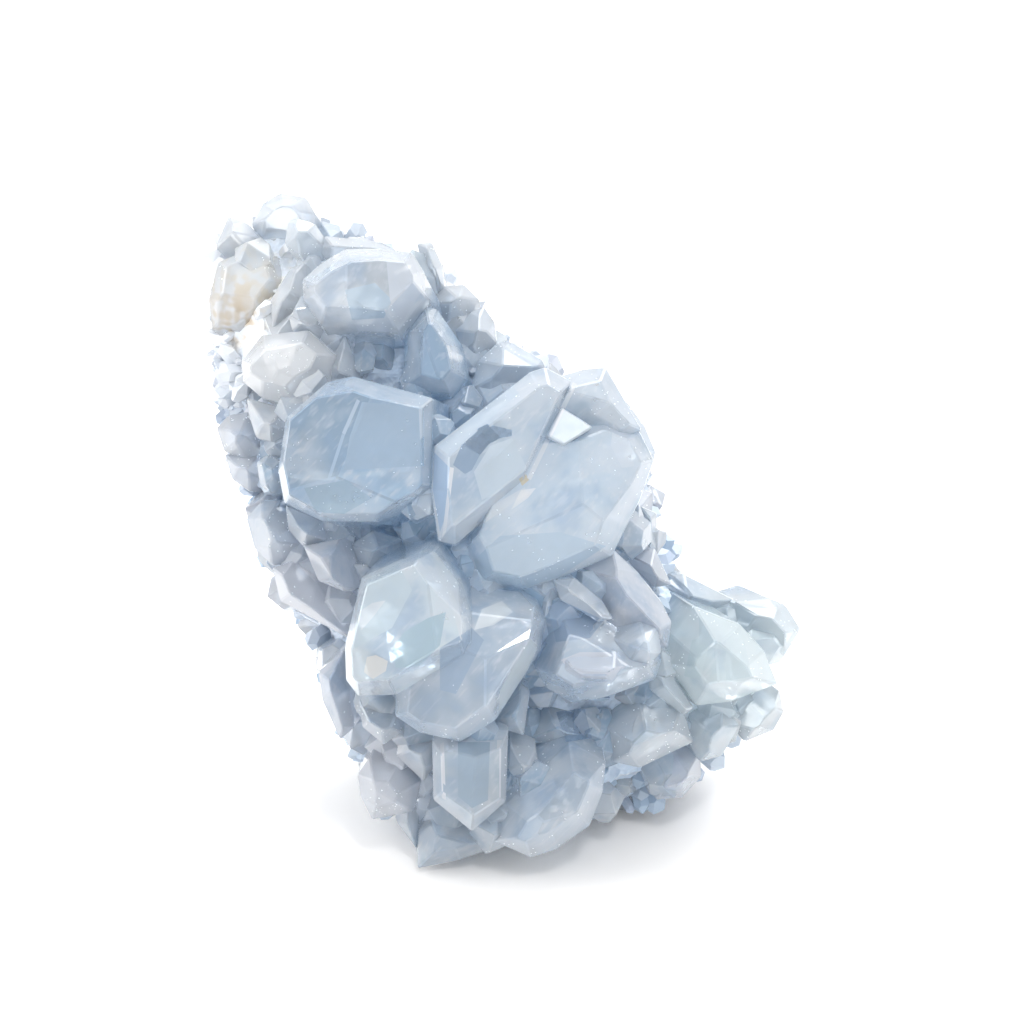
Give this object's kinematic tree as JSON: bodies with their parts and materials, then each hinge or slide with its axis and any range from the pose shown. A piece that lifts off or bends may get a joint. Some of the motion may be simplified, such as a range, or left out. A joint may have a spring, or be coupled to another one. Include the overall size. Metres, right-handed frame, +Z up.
{
  "type": "celestite crystal cluster",
  "caption": "Natural cluster of stout, clear pale blue crystals grown through one another on a broken pale crust, standing on a flat cut foot.",
  "frame": {"origin": "middle of the bounding box at its bottom, on the flat cut that the specimen stands on", "axes": "+Z up, -Y towards the front, where the crystals' growth face leans back, +X to the right of the front"},
  "size_m": [0.0964, 0.0782, 0.0959],
  "materials": {
    "celestite": "glossy clear to milky crystal faces",
    "crust": "rough sugary broken stone, with a little tan staining"
  },
  "bodies": {
    "root": {"celestite_cluster": "celestite"}
  },
  "joints": []
}
